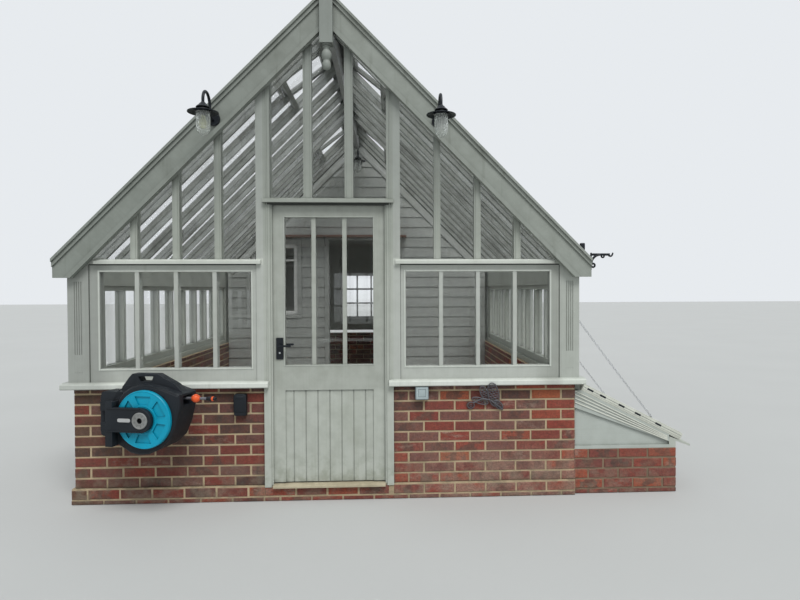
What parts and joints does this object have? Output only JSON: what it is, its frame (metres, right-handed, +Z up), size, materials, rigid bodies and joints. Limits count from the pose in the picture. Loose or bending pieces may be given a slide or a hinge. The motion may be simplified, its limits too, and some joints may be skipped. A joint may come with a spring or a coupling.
{
  "type": "greenhouse",
  "caption": "Timber greenhouse on low brick walls: glazed gable roof with vents, boarded shed behind, and a glazed cold frame with hinged lids along one side.",
  "frame": {"origin": "on the ground, under the middle of the building's plan (the cold frame on the right isn't counted)", "axes": "+X to the right seen from the front, +Y into the building from its door, +Z up"},
  "size_m": [4.579, 6.0338, 4.0003],
  "materials": {
    "brick": "mixed red facing brick, pale mortar",
    "concrete": "plain slab",
    "painted_wood": "sage paint, weathered",
    "bare_wood": "red brown stain",
    "white_paint": "white paint",
    "roof_board": "boards under dark grey felt",
    "glass": "clear horticultural glass",
    "jar_glass": "clear pressed glass",
    "black_metal": "black, satin",
    "dark_plastic": "black, matt",
    "grey_plastic": "grey blue, matt",
    "turquoise_plastic": "turquoise, matt"
  },
  "bodies": {
    "building": {"back_bargeboards": "painted_wood", "back_wall": "brick", "basket_bracket": "black_metal", "cold_frame_cheeks": "painted_wood", "cold_frame_rails": "painted_wood", "cold_frame_walls": "brick", "door_frame": "painted_wood", "door_step": "brick", "finials": "painted_wood", "floor": "concrete", "front_bargeboards": "painted_wood", "front_frames": "painted_wood", "front_glass": "glass", "front_walls": "brick", "gable_bars": "painted_wood", "gutters": "dark_plastic", "key_safe": "black_metal", "lamp_jars": "jar_glass", "lamps": "black_metal", "lid_chains": "black_metal", "partition": "painted_wood", "reel_bracket": "black_metal", "ridge": "painted_wood", "roof_bars": "painted_wood", "roof_glass": "glass", "roof_vent_glass": "glass", "roof_vents": "painted_wood", "shed_back_wall": "painted_wood", "shed_roof": "roof_board", "shed_side_walls": "painted_wood", "shed_window_glass": "glass", "shed_windows": "white_paint", "shelf": "bare_wood", "shelf_brackets": "black_metal", "side_frames": "painted_wood", "side_glass": "glass", "side_walls": "brick", "socket_box": "grey_plastic"},
    "door_leaf": {"door": "painted_wood", "door_glass": "glass", "handle_plates": "black_metal"},
    "lever": {"door_handle": "black_metal"},
    "cold_lid_1": {"lid_1": "painted_wood", "lid_glass_1": "glass"},
    "cold_lid_2": {"lid_2": "painted_wood", "lid_glass_2": "glass"},
    "cold_lid_3": {"lid_3": "painted_wood", "lid_glass_3": "glass"},
    "cold_lid_4": {"lid_4": "painted_wood", "lid_glass_4": "glass"},
    "hose_reel": {"reel_housing": "dark_plastic", "reel_disc": "turquoise_plastic", "hose_end": "dark_plastic"}
  },
  "joints": [
    {"name": "door_hinge", "type": "hinge", "parent": "building", "child": "door_leaf", "pos_m": [0.407, -2.666, 1.13], "axis": [0, 0, -1], "range_deg": [0, 100]},
    {"name": "lever_turn", "type": "hinge", "parent": "door_leaf", "child": "lever", "pos_m": [-0.355, -2.695, 1.117], "axis": [0, 1, 0], "range_deg": [0, 40], "stiffness_Nm_per_rad": 0.6, "springref_deg": -17.19},
    {"name": "lid_hinge_1", "type": "hinge", "parent": "building", "child": "cold_lid_1", "pos_m": [1.872, 0, 0.812], "axis": [0, -1, 0], "range_deg": [0, 75], "deforming": ["lid_chains"]},
    {"name": "lid_hinge_2", "type": "hinge", "parent": "building", "child": "cold_lid_2", "pos_m": [1.872, 0, 0.812], "axis": [0, -1, 0], "range_deg": [0, 75], "deforming": ["lid_chains"]},
    {"name": "lid_hinge_3", "type": "hinge", "parent": "building", "child": "cold_lid_3", "pos_m": [1.872, 0, 0.812], "axis": [0, -1, 0], "range_deg": [0, 75], "deforming": ["lid_chains"]},
    {"name": "lid_hinge_4", "type": "hinge", "parent": "building", "child": "cold_lid_4", "pos_m": [1.872, 0, 0.812], "axis": [0, -1, 0], "range_deg": [0, 75], "deforming": ["lid_chains"]},
    {"name": "reel_swivel", "type": "hinge", "parent": "building", "child": "hose_reel", "pos_m": [-1.565, -2.778, 0.646], "axis": [0, 0, -1], "range_deg": [-12, 98]}
  ]
}
